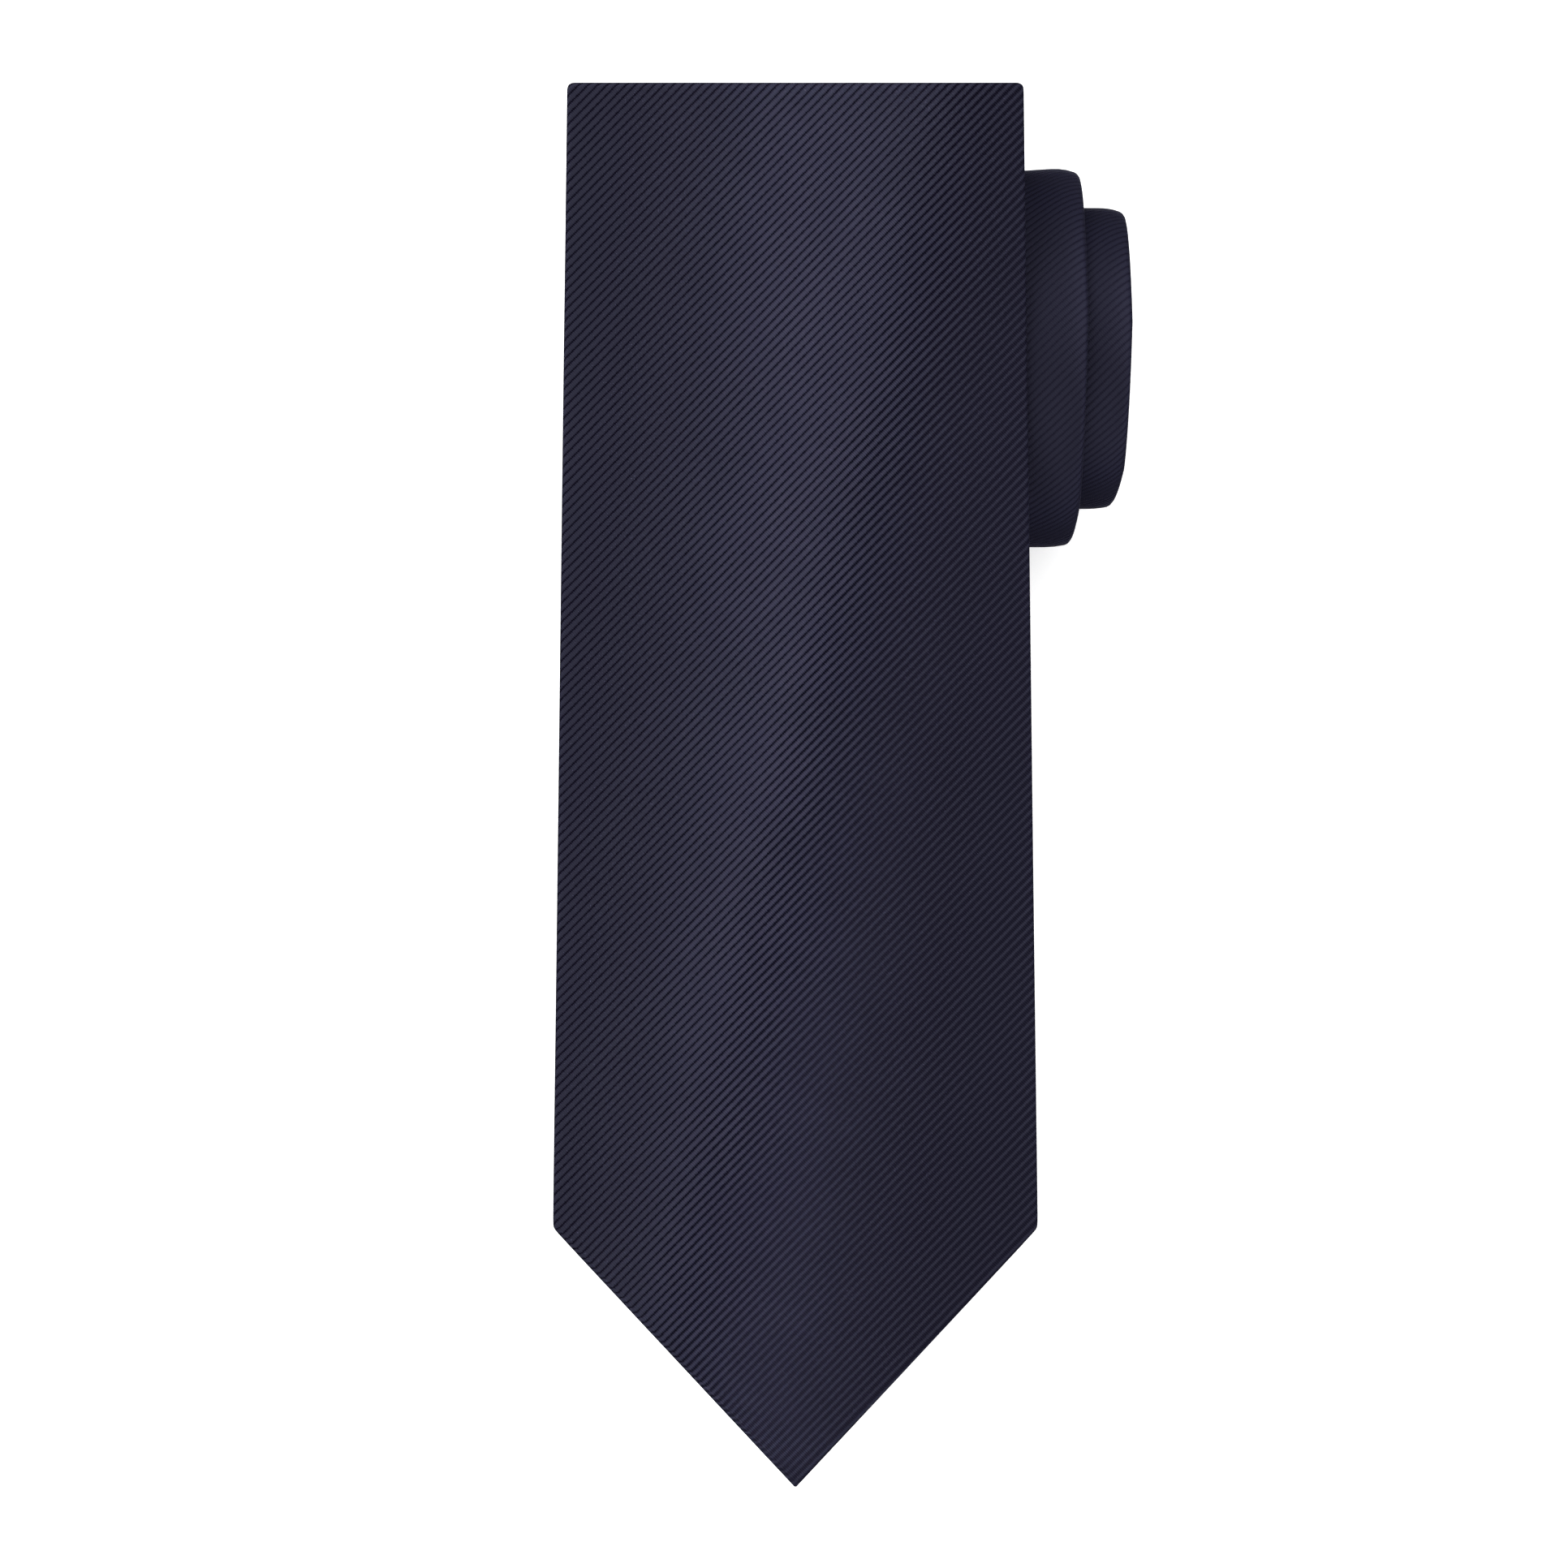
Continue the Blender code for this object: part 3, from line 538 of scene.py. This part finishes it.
def ribbed_silk():
    """Silk twill with a raised diagonal rib every 1.18 mm and fine threads across each rib.

    The silk's own navy is painted darker in the grooves as shade and lighter on the crests as if
    lit, besides the bump.
    Towards the right of the point, painted shade draws the lit crests narrower and dimmer and the
    grooves less dark, and in the roll the ribs are lower."""
    made, tree, shader = new_material("navy_ribbed_silk")
    thread_height = 0.13      # a share of the rib's height
    rib_height = 0.00020
    flat = add(tree, "ShaderNodeUVMap")
    wander = add(tree, "ShaderNodeTexNoise", {"Vector": flat.outputs["UV"]},
                 {"Scale": 2600.0, "Detail": 2.0, "Roughness": 0.6})
    place = add(tree, "ShaderNodeSeparateXYZ", {"Vector": flat.outputs["UV"]})
    rib_pitch = 0.00118
    angle = math.radians(45.5)
    across_u = add(tree, "ShaderNodeMath", {0: place.outputs["X"]},
                   {1: math.sin(angle) / rib_pitch}, operation="MULTIPLY")
    across = add(tree, "ShaderNodeMath", {0: place.outputs["Y"], 2: across_u.outputs[0]},
                 {1: -math.cos(angle) / rib_pitch}, operation="MULTIPLY_ADD")
    jag = add(tree, "ShaderNodeMath", {0: wander.outputs["Fac"], 2: across.outputs[0]},
              {1: 0.30}, operation="MULTIPLY_ADD")
    phase = add(tree, "ShaderNodeMath", {0: jag.outputs[0]}, operation="FRACT")
    profile = add(tree, "ShaderNodeFloatCurve", {"Value": phase.outputs[0]})
    curve = profile.mapping.curves[0]
    curve.points[0].location = (0.0, 0.0)
    curve.points[1].location = (1.0, 0.0)
    for x, y in ((0.12, 0.45), (0.35, 0.95), (0.55, 1.0), (0.80, 0.75), (0.93, 0.25)):
        curve.points.new(x, y)
    profile.mapping.update()
    # Painted shade, fixed to the cloth: towards the right of the point and the lower right of the
    # blade, the lit crests are drawn narrower and dimmer and the grooves less dark, which darkens
    # that part on the whole. It runs through the rib height into both the colour and the bump.
    to_side = add(tree, "ShaderNodeMath", {0: place.outputs["Y"], 2: place.outputs["X"]},
                  {1: -0.227}, operation="MULTIPLY_ADD")
    painted_shade_right_of_point = add(tree, "ShaderNodeMapRange", {"Value": to_side.outputs[0]},
                         {"From Min": -0.036, "From Max": -0.006}, interpolation_type="SMOOTHSTEP")
    sharper = add(tree, "ShaderNodeMath", {0: painted_shade_right_of_point.outputs[0]}, {1: 5.0, 2: 1.0},
                  operation="MULTIPLY_ADD")
    crest_only = add(tree, "ShaderNodeMath", {0: profile.outputs[0], 1: sharper.outputs[0]},
                     operation="POWER")
    groove_painted_lighter = add(tree, "ShaderNodeMath", {0: painted_shade_right_of_point.outputs[0]}, {1: 0.34},
                 operation="MULTIPLY")
    crest_painted_dimmer = add(tree, "ShaderNodeMath", {0: painted_shade_right_of_point.outputs[0]}, {1: -0.13, 2: 1.0},
                 operation="MULTIPLY_ADD")
    rib_with_painted_shade = add(tree, "ShaderNodeMix", {"Factor": crest_only.outputs[0],
                                           "A": groove_painted_lighter.outputs[0],
                                           "B": crest_painted_dimmer.outputs[0]}, data_type="FLOAT")
    thread_pitch = 0.00036
    along_u = add(tree, "ShaderNodeMath", {0: place.outputs["X"]},
                  {1: math.cos(angle) / thread_pitch}, operation="MULTIPLY")
    along = add(tree, "ShaderNodeMath", {0: place.outputs["Y"], 2: along_u.outputs[0]},
                {1: math.sin(angle) / thread_pitch}, operation="MULTIPLY_ADD")
    row = add(tree, "ShaderNodeMath", {0: along.outputs[0]}, {1: 2 * math.pi},
              operation="MULTIPLY")
    thread = add(tree, "ShaderNodeMath", {0: row.outputs[0]}, operation="SINE")
    raised = add(tree, "ShaderNodeMath", {0: thread.outputs[0], 2: rib_with_painted_shade.outputs["Result"]},
                 {1: thread_height}, operation="MULTIPLY_ADD")
    relief = add(tree, "ShaderNodeMapRange", {"Value": place.outputs["Y"]},
                 {"From Min": CREASE_AT + 0.03, "From Max": CREASE_AT + 0.10, "To Min": 1.0,
                  "To Max": 0.35})
    from_middle = add(tree, "ShaderNodeMath", {0: raised.outputs[0]}, {1: 0.66},
                      operation="SUBTRACT")
    height = add(tree, "ShaderNodeMath", {0: from_middle.outputs[0], 1: relief.outputs[0]},
                 {2: 0.66}, operation="MULTIPLY_ADD")
    # The colour follows the rib height: the silk's own navy, with painted shade darkening the
    # grooves and the crests painted lighter as if lit, besides the bump's own shading.
    colour = add(tree, "ShaderNodeValToRGB", {"Fac": height.outputs[0]})
    ramp = colour.color_ramp
    ramp.elements[0].position, ramp.elements[0].color = 0.08, linear("#080711")
    ramp.elements[1].position, ramp.elements[1].color = 0.98, linear("#292936")
    middle = ramp.elements.new(0.5)
    middle.color = linear("#1b1a26")
    mottle = add(tree, "ShaderNodeTexNoise", {"Vector": flat.outputs["UV"]},
                 {"Scale": 30.0, "Detail": 3.0})
    shade = add(tree, "ShaderNodeMapRange", {"Value": mottle.outputs["Fac"]},
                {"To Min": 0.92, "To Max": 1.08})
    tone = add(tree, "ShaderNodeMix", {"A": colour.outputs["Color"], "B": shade.outputs[0]},
               {"Factor": 1.0}, data_type="RGBA", blend_type="MULTIPLY")
    bump = add(tree, "ShaderNodeBump", {"Height": height.outputs[0]},
               {"Strength": 0.8, "Distance": rib_height})
    tree.links.new(tone.outputs["Result"], shader.inputs["Base Color"])
    tree.links.new(bump.outputs["Normal"], shader.inputs["Normal"])
    shader.inputs["Roughness"].default_value = 0.36
    shader.inputs["Metallic"].default_value = 0.40
    shader.inputs["Specular IOR Level"].default_value = 0.0
    shader.inputs["Specular Tint"].default_value = linear("#59596a")
    return made


silk = ribbed_silk()
SILK_COLUMNS = len(silk_fold(0.1))


def make_silk(name, nodes, start, end, hold):
    """One length of the envelope, folded round the interlining."""
    rows = rows_between(start, end)
    piece = lay_cloth(name, rows, SILK_COLUMNS, silk_fold)
    piece.data.materials.append(silk)
    thicken(piece, SILK)
    hold(piece)
    if nodes:
        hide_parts(*nodes)
    declare_cut(rows, silk_fold)
    return piece


POINT_CUT = 0.0001        # the point itself can't come to nothing
SEAM_GAP_ALONG = 0.00015
make_silk("front_silk_blade", ["front_blade_silk"], POINT_CUT, BLADE_PIECE_END, bend_at_crease)
make_silk("front_silk_turns", ["front_blade_silk_turns"], BLADE_PIECE_END, NECK_BEND_START,
          on_roll)
make_silk("front_silk_to_neck", ["front_neck_seam"], NECK_BEND_START, NECK_BEND_END,
          shear_at_neck)
make_silk("neck_silk_turns", ["neck_silk"], NECK_BEND_END, TAIL_SEAM - SEAM_GAP_ALONG, on_core)
make_silk("tail_silk_turns", ["tail_neck_seam", "tail_silk"], TAIL_SEAM + SEAM_GAP_ALONG, LENGTH,
          on_core)


# ---- Tipping ----------------------------------------------------------------------------------
# Plain navy satin that lines the back of each point, tucked under the hem and the two flaps.
# It is closely woven and smooth, so it shines more than the twill.

TUCK = 0.0020             # how far the satin goes under the hem and the flaps
TIPPING_IN = 0.0015       # and how far it stays inside the tie's folded edge
TIPPING_CLOTH = 0.0002
TIPPING_FROM_POINT = 0.0100
TIPPING_FROM_TAIL = 0.0060
TIPPING_PAST_FLAPS = 0.0040


def tipping_fold(s):
    """Across the tipping: one flat layer just under the flaps."""
    half = min(flap_edge(s) + TUCK, half_width(s) - TIPPING_IN)
    return [(half * i / 12, THICKNESS - 1.7 * SILK, half * i / 12, s) for i in range(-12, 13)]


def satin(name, dark, light, gloss):
    """Satin: long warp threads 0.12 mm apart lie flat, which gives a smooth streaky shine."""
    made, tree, shader = new_material(name)
    flat = add(tree, "ShaderNodeUVMap")
    drawn_out = add(tree, "ShaderNodeMapping", {"Vector": flat.outputs["UV"]},
                    {"Scale": (8000.0, 500.0, 1.0)})
    threads = add(tree, "ShaderNodeTexNoise", {"Vector": drawn_out.outputs["Vector"]},
                  {"Scale": 1.0, "Detail": 3.0})
    tone = add(tree, "ShaderNodeMix", {"Factor": threads.outputs["Fac"]}, data_type="RGBA")
    tone.inputs["A"].default_value = linear(dark)
    tone.inputs["B"].default_value = linear(light)
    bump = add(tree, "ShaderNodeBump", {"Height": threads.outputs["Fac"]},
               {"Strength": 0.4, "Distance": 0.00006})
    tree.links.new(tone.outputs["Result"], shader.inputs["Base Color"])
    tree.links.new(bump.outputs["Normal"], shader.inputs["Normal"])
    shader.inputs["Roughness"].default_value = gloss
    shader.inputs["Specular IOR Level"].default_value = 0.4
    return made


tipping_satin = satin("navy_tipping_satin", "#171625", "#262538", 0.33)


def make_tipping(name, node, start, end, body):
    rows = [start + (end - start) * i / 48 for i in range(49)]
    piece = lay_cloth(name, rows, 25, tipping_fold)
    piece.data.materials.append(tipping_satin)
    thicken(piece, TIPPING_CLOTH)
    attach(piece, body)
    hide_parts(node)
    declare_cut(rows, tipping_fold)


make_tipping("satin_tipping_front", "front_tipping", TIPPING_FROM_POINT,
             FLAP_OPENING + TIPPING_PAST_FLAPS, "front_blade")
make_tipping("satin_tipping_tail", "tail_tipping",
             LENGTH - TAIL_OPENING - TIPPING_PAST_FLAPS / 2, LENGTH - TIPPING_FROM_TAIL,
             "inner_roll")


# ---- Slip stitch and bar tacks ----------------------------------------------------------------
# One long loose thread closes the two flaps down the middle of the back.  Its stitches show as
# short slanting bars, and a close row of them, the bar tack, ends the seam at each point.

STITCH_LENGTH = 0.0019
STITCH_PITCH = 0.0060
THREAD_RADIUS = 0.00017


def twisted_thread():
    """Twisted silk thread: the twist shows as fine slanting lines 0.7 mm apart."""
    made, tree, shader = new_material("navy_twisted_silk_thread")
    place = add(tree, "ShaderNodeTexCoord")
    twist = add(tree, "ShaderNodeTexWave", {"Vector": place.outputs["Object"]},
                {"Scale": 520.0, "Distortion": 1.0}, bands_direction="DIAGONAL")
    tone = add(tree, "ShaderNodeMix", {"Factor": twist.outputs["Fac"]}, data_type="RGBA")
    tone.inputs["A"].default_value = linear("#191826")
    tone.inputs["B"].default_value = linear("#393848")
    bump = add(tree, "ShaderNodeBump", {"Height": twist.outputs["Fac"]},
               {"Strength": 0.5, "Distance": 0.00006})
    tree.links.new(tone.outputs["Result"], shader.inputs["Base Color"])
    tree.links.new(bump.outputs["Normal"], shader.inputs["Normal"])
    shader.inputs["Roughness"].default_value = 0.45
    shader.inputs["Specular IOR Level"].default_value = 0.35
    return made


thread = twisted_thread()


def one_stitch(length, radius):
    """A short arched bar of thread, thin at its ends where it goes into the cloth."""
    bpy.ops.object.select_all(action="DESELECT")
    bpy.ops.mesh.primitive_cylinder_add(vertices=8, radius=radius, depth=length,
                                        rotation=(0.0, math.pi / 2, 0.0))
    bar = bpy.context.object
    bpy.ops.object.transform_apply(rotation=True)
    bpy.ops.object.mode_set(mode="EDIT")
    for cut in range(-3, 4):
        bpy.ops.mesh.select_all(action="SELECT")
        bpy.ops.mesh.bisect(plane_co=(cut * length / 7.5, 0, 0), plane_no=(1, 0, 0))
    bpy.ops.object.mode_set(mode="OBJECT")
    for vertex in bar.data.vertices:
        share = min(1.0, abs(vertex.co.x) / (length / 2))
        vertex.co.y *= 1 - 0.6 * share**3
        vertex.co.z *= 1 - 0.6 * share**3
        vertex.co.z -= 1.6 * radius * share**2
    bpy.ops.object.shade_smooth()
    return bar


def strip_axes(s, slant):
    """A turn whose local x slants in the plane of the cloth and whose local z leaves its back."""
    along = Vector(on_strip(s + 0.0002, 0, 0)) - Vector(on_strip(s - 0.0002, 0, 0))
    along.normalize()
    across = Vector((1.0, 0.0, 0.0))
    local_x = across * math.cos(slant) + along * math.sin(slant)
    local_z = along.cross(across)
    return Matrix((local_x, local_z.cross(local_x), local_z)).transposed().to_4x4()


def sew(name, node, places, body):
    """Copies one stitch to each place, given as its length, s, x, depth and slant."""
    bars = []
    for length, s, x, depth, slant in places:
        pattern = stitch_patterns[length]
        bar = pattern.copy()
        bar.data = pattern.data.copy()
        bar.data.transform(Matrix.Translation(on_strip(s, x, depth)) @ strip_axes(s, slant))
        bpy.context.scene.collection.objects.link(bar)
        bars.append(bar)
    bpy.ops.object.select_all(action="DESELECT")
    for bar in bars:
        bar.select_set(True)
    bpy.context.view_layer.objects.active = bars[0]
    if len(bars) > 1:
        bpy.ops.object.join()
    seam = bpy.context.object
    seam.name = name
    seam.data.materials.append(thread)
    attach(seam, body)
    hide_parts(node)


SHORT_STITCH = 0.0013
stitch_patterns = {length: one_stitch(length, THREAD_RADIUS)
                   for length in (STITCH_LENGTH, SHORT_STITCH)}
ON_BACK = THICKNESS + 0.00012
SEAM_SLANT = 0.9          # radians from straight across, here and below
TACK_SLANT = 0.08
FOOT_TACK_SLANT = 0.10


def seam_places(start, end):
    """The places of a slip stitch's bars."""
    count = int((end - start) / STITCH_PITCH)
    return [(STITCH_LENGTH, start + i * STITCH_PITCH, 0.0, ON_BACK, SEAM_SLANT)
            for i in range(count)]


def tack_places(middle, half, count, slant, x=0.0, depth=ON_BACK):
    """The places of a close row of bars, half to each side of its middle."""
    return [(STITCH_LENGTH, middle + half * (2 * i / (count - 1) - 1), x, depth, slant)
            for i in range(count)]


sew("slip_stitches_blade", "slip_stitch_blade",
    seam_places(FLAP_OPENING + 0.004, CREASE_AT - 0.007), "front_blade")
sew("slip_stitches_turns", "slip_stitch_turns",
    seam_places(CREASE_AT + 0.008, NECK_BEND_START), "roll")
sew("slip_stitches_core", "slip_stitch_core",
    seam_places(NECK_BEND_END + 0.002, LENGTH - TAIL_OPENING), "inner_roll")
sew("bar_tack_front", "front_bar_tack", tack_places(FLAP_OPENING - 0.0012, 0.0012, 8, TACK_SLANT),
    "front_blade")
sew("bar_tack_tail", "tail_bar_tack",
    tack_places(LENGTH - TAIL_OPENING + 0.0035, 0.0010, 7, TACK_SLANT), "inner_roll")


# ---- Keeper loop ------------------------------------------------------------------------------
# A band of the same silk, folded to 14 mm wide, that keeps the tail behind the blade.  Each foot
# lies flat on the blade's back and is held down by a close row of stitches.

LOOP_FROM_POINT = 0.1380
LOOP_WIDTH = 0.0140
LOOP_SPAN = 0.0216        # from the middle to where the band leaves the blade's back
LOOP_RISE = 0.0022
LOOP_FOOT = 0.0050
LOOP_CLOTH = 0.0006
LOOP_LIFT = 0.0006        # from the blade's back to the middle of the foot's cloth


def loop_fold(s):
    """Across the band: foot, rise, a slightly bowed middle, rise, foot."""
    middle = (s - LOOP_FROM_POINT) / LOOP_WIDTH - 0.5
    places = []
    run = 0.0
    before = None
    for i in range(-40, 41):
        x = (LOOP_SPAN + LOOP_FOOT) * i / 40
        up = ease((LOOP_SPAN + 0.0004 - abs(x)) / 0.0034)
        bowed = 0.0003 * math.cos(math.pi * min(1.0, abs(x) / LOOP_SPAN))
        depth = THICKNESS + LOOP_LIFT + up * (LOOP_RISE + bowed + 0.0002 * (1 - 4 * middle**2))
        if before:
            run += math.hypot(x - before[0], depth - before[1])
        before = (x, depth)
        places.append((x, depth, run, s))
    return places


def round_rim(piece, width):
    """Rounds the cut rim of a cloth that already has its thickness."""
    bevel = piece.modifiers.new("rim", "BEVEL")
    bevel.width = width
    bevel.segments = 2
    bevel.limit_method = "ANGLE"
    bevel.angle_limit = math.radians(60)
    bpy.ops.object.modifier_apply(modifier=bevel.name)


loop_rows = [LOOP_FROM_POINT + LOOP_WIDTH * i / 12 for i in range(13)]
keeper = lay_cloth("keeper_band", loop_rows, 81, loop_fold)
keeper.data.materials.append(silk)
thicken(keeper, LOOP_CLOTH)
round_rim(keeper, 0.00022)
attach(keeper, "front_blade")
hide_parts("keeper_loop")
declare_cut(loop_rows, loop_fold)

foot_middle = LOOP_SPAN + LOOP_FOOT / 2 + 0.0006
for side, sign in (("left", -1), ("right", 1)):
    sew("keeper_tack_" + side, "keeper_loop_tack_" + side,
        tack_places(LOOP_FROM_POINT + LOOP_WIDTH / 2, LOOP_WIDTH / 2 - 0.0012, 22, FOOT_TACK_SLANT,
                    sign * foot_middle, THICKNESS + LOOP_LIFT + LOOP_CLOTH / 2 + 0.0001),
        "front_blade")


# ---- Labels -----------------------------------------------------------------------------------
# A blank woven label in dark damask with a thin pale border, its two ends turned under and sewn
# down, and under its lower edge a small blank care label of white satin ribbon.

LABEL_FROM_POINT = 0.1040
LABEL_HALF = 0.0210
LABEL_HEIGHT = 0.0240
LABEL_CLOTH = 0.00045
CARE_HALF = 0.0090
CARE_HEIGHT = 0.0093
CARE_TUCK = 0.0012        # how much of it is under the woven label
CARE_CLOTH = 0.00025
LABEL_LIFT = 0.00058      # from the blade's back to the middle of the label's cloth
CARE_LIFT = 0.00018
CARE_HANG = 0.0013        # how far the care label's free end stands off


def label_fold(s):
    """Across the woven label, with its ends turned under and a little slack between them."""
    places = []
    for i in range(-28, 29):
        x = LABEL_HALF * i / 28
        turned_under = 0.00012 * ease((abs(x) - LABEL_HALF + 0.0030) / 0.0008)
        slack = 0.00010 * noise.noise(Vector((x * 160, s * 160, 3.0)))
        places.append((x, THICKNESS + LABEL_LIFT + turned_under + slack, x, s - LABEL_FROM_POINT))
    return places


def woven_damask():
    """A woven label: dark damask with a pale border, 2 mm in from its long edges and 4 mm in
    from its ends.

    Its woven lines are 0.5 mm apart, coarse enough to show."""
    made, tree, shader = new_material("dark_woven_damask")
    flat = add(tree, "ShaderNodeUVMap")
    place = add(tree, "ShaderNodeSeparateXYZ", {"Vector": flat.outputs["UV"]})
    weft = add(tree, "ShaderNodeMath", {0: place.outputs["Y"]}, {1: 2 * math.pi / 0.00050},
               operation="MULTIPLY")
    line = add(tree, "ShaderNodeMath", {0: weft.outputs[0]}, operation="SINE")
    from_side = add(tree, "ShaderNodeMath", {0: place.outputs["X"]}, operation="ABSOLUTE")
    side_gap = add(tree, "ShaderNodeMath", {1: from_side.outputs[0]}, {0: LABEL_HALF - 0.0040},
                   operation="SUBTRACT")
    centred = add(tree, "ShaderNodeMath", {0: place.outputs["Y"]}, {1: LABEL_HEIGHT / 2},
                  operation="SUBTRACT")
    from_end = add(tree, "ShaderNodeMath", {0: centred.outputs[0]}, operation="ABSOLUTE")
    end_gap = add(tree, "ShaderNodeMath", {1: from_end.outputs[0]}, {0: LABEL_HEIGHT / 2 - 0.0020},
                  operation="SUBTRACT")
    gap = add(tree, "ShaderNodeMath", {0: side_gap.outputs[0], 1: end_gap.outputs[0]},
              operation="MINIMUM")
    border = add(tree, "ShaderNodeMath", {0: gap.outputs[0]}, {1: 0.0, 2: 0.00030},
                 operation="COMPARE")
    damask = add(tree, "ShaderNodeMapRange", {"Value": line.outputs[0]}, {"From Min": -1.0})
    ground = add(tree, "ShaderNodeMix", {"Factor": damask.outputs[0]}, data_type="RGBA")
    ground.inputs["A"].default_value = linear("#14141c")
    ground.inputs["B"].default_value = linear("#2a2a36")
    tone = add(tree, "ShaderNodeMix", {"Factor": border.outputs[0], "A": ground.outputs["Result"]},
               data_type="RGBA")
    tone.inputs["B"].default_value = linear("#9c9ba6")
    bump = add(tree, "ShaderNodeBump", {"Height": line.outputs[0]},
               {"Strength": 0.4, "Distance": 0.00005})
    tree.links.new(tone.outputs["Result"], shader.inputs["Base Color"])
    tree.links.new(bump.outputs["Normal"], shader.inputs["Normal"])
    shader.inputs["Roughness"].default_value = 0.6
    shader.inputs["Specular IOR Level"].default_value = 0.3
    return made


def care_fold(s):
    """Across the care label, which stands off the silk towards its free end."""
    hang = max(0.0, (LABEL_FROM_POINT - s) / CARE_HEIGHT) ** 2
    return [(CARE_HALF * i / 10, THICKNESS + CARE_LIFT + CARE_HANG * hang, CARE_HALF * i / 10, s)
            for i in range(-10, 11)]


def make_label(name, node, rows, columns, fold, cloth, finish):
    """A small flat label with a rounded rim, fixed to the blade's back."""
    piece = lay_cloth(name, rows, columns, fold)
    piece.data.materials.append(finish)
    thicken(piece, cloth)
    round_rim(piece, cloth * 0.4)
    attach(piece, "front_blade")
    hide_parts(node)
    declare_cut(rows, fold)


make_label("woven_damask_label", "woven_label",
           [LABEL_FROM_POINT + LABEL_HEIGHT * i / 24 for i in range(25)], 57, label_fold,
           LABEL_CLOTH, woven_damask())
make_label("satin_care_label", "care_label",
           [LABEL_FROM_POINT + CARE_TUCK - (CARE_HEIGHT + CARE_TUCK) * (1 - i / 14)
            for i in range(15)], 21,
           care_fold, CARE_CLOTH, satin("white_care_satin", "#cfcdc6", "#ecebe6", 0.5))
for side, sign in (("left", -1), ("right", 1)):
    running = [(SHORT_STITCH, LABEL_FROM_POINT + 0.0022 + 0.00218 * i, sign * (LABEL_HALF - 0.0012),
                THICKNESS + 0.00095, math.pi / 2) for i in range(10)]
    sew("label_stitches_" + side, "label_stitch_" + side, running, "front_blade")
for pattern in stitch_patterns.values():
    bpy.data.objects.remove(pattern, do_unlink=True)


# ---- Floor, light and camera ------------------------------------------------------------------
# A plain white sheet of paper, a large soft light from the upper left, weaker ones from the
# right and the front, a narrow gridded strip that lights the blade's middle, and a long lens.

bpy.ops.object.select_all(action="DESELECT")
bpy.ops.mesh.primitive_plane_add(size=6.0, location=(0.0, 0.0, -0.0003))
floor = bpy.context.object
floor.name = "white_floor"
paper, paper_tree, paper_shader = new_material("white_paper")
paper_grain = add(paper_tree, "ShaderNodeTexNoise", values={"Scale": 40.0})
paper_tone = add(paper_tree, "ShaderNodeMix", {"Factor": paper_grain.outputs["Fac"]},
                 data_type="RGBA")
paper_tone.inputs["A"].default_value = linear("#fdfdfd")
paper_tone.inputs["B"].default_value = linear("#ffffff")
paper_tree.links.new(paper_tone.outputs["Result"], paper_shader.inputs["Base Color"])
paper_shader.inputs["Roughness"].default_value = 0.9
paper_shader.inputs["Emission Color"].default_value = linear("#ffffff")
paper_shader.inputs["Emission Strength"].default_value = 0.40
floor.data.materials.append(paper)


def soft_light(name, place, target, size, watts):
    bpy.ops.object.light_add(type="AREA", location=place)
    lamp = bpy.context.object
    lamp.name = name
    lamp.data.shape = "DISK"
    lamp.data.size = size
    lamp.data.energy = watts
    lamp.rotation_euler = (Vector(target) - Vector(place)).to_track_quat("-Z", "Y").to_euler()


AIM_UP = 0.0007           # the camera's aim from the blade's middle
AIM_LEFT = 0.0020
view_centre = (crease - blade_up * (BLADE_LENGTH / 2 - AIM_UP)
               - Vector((AIM_LEFT, 0.0, 0.0)))
soft_light("upper_left_softbox", view_centre + Vector((-1.1, 1.1, 1.0)), view_centre, 2.2, 33.0)
soft_light("right_softbox", view_centre + Vector((1.2, 0.7, 0.9)), view_centre, 2.2, 19.0)
soft_light("front_softbox", view_centre + Vector((-0.3, -1.5, 0.8)), view_centre, 2.0, 9.0)

STRIP_HEIGHT = 0.80       # above the blade
STRIP_LEFT = 0.001
STRIP_TURN = math.radians(-3.6)
strip_place = view_centre + blade_normal * STRIP_HEIGHT - Vector((STRIP_LEFT, 0.0, 0.0))
bpy.ops.object.light_add(type="AREA", location=strip_place)
strip = bpy.context.object
strip.name = "gridded_strip"
strip.data.shape = "RECTANGLE"
strip.data.size = 0.02
strip.data.size_y = 0.36
strip.data.spread = math.radians(4.6)
strip.data.energy = 0.031
strip.visible_camera = False
strip.rotation_euler = (Matrix((Vector((1, 0, 0)), blade_up, blade_normal)).transposed()
                        @ Matrix.Rotation(STRIP_TURN, 3, "Z")).to_euler()

world = bpy.data.worlds.new("white_room")
world.use_nodes = True
world.node_tree.nodes["Background"].inputs["Color"].default_value = linear("#ffffff")
world.node_tree.nodes["Background"].inputs["Strength"].default_value = 0.9
bpy.context.scene.world = world

CAMERA_DISTANCE = 1.60
CAMERA_ELEVATION = math.radians(75.0)
FRAME_WIDTH = 0.2751      # what the frame takes in at the blade
to_camera = Vector((0.0, -math.cos(CAMERA_ELEVATION), math.sin(CAMERA_ELEVATION)))
bpy.ops.object.camera_add(location=view_centre + to_camera * CAMERA_DISTANCE)
camera = bpy.context.object
camera.rotation_euler = to_camera.to_track_quat("Z", "Y").to_euler()
camera.data.lens = camera.data.sensor_width * CAMERA_DISTANCE / FRAME_WIDTH
bpy.context.scene.camera = camera
bpy.context.scene.view_settings.view_transform = "Standard"
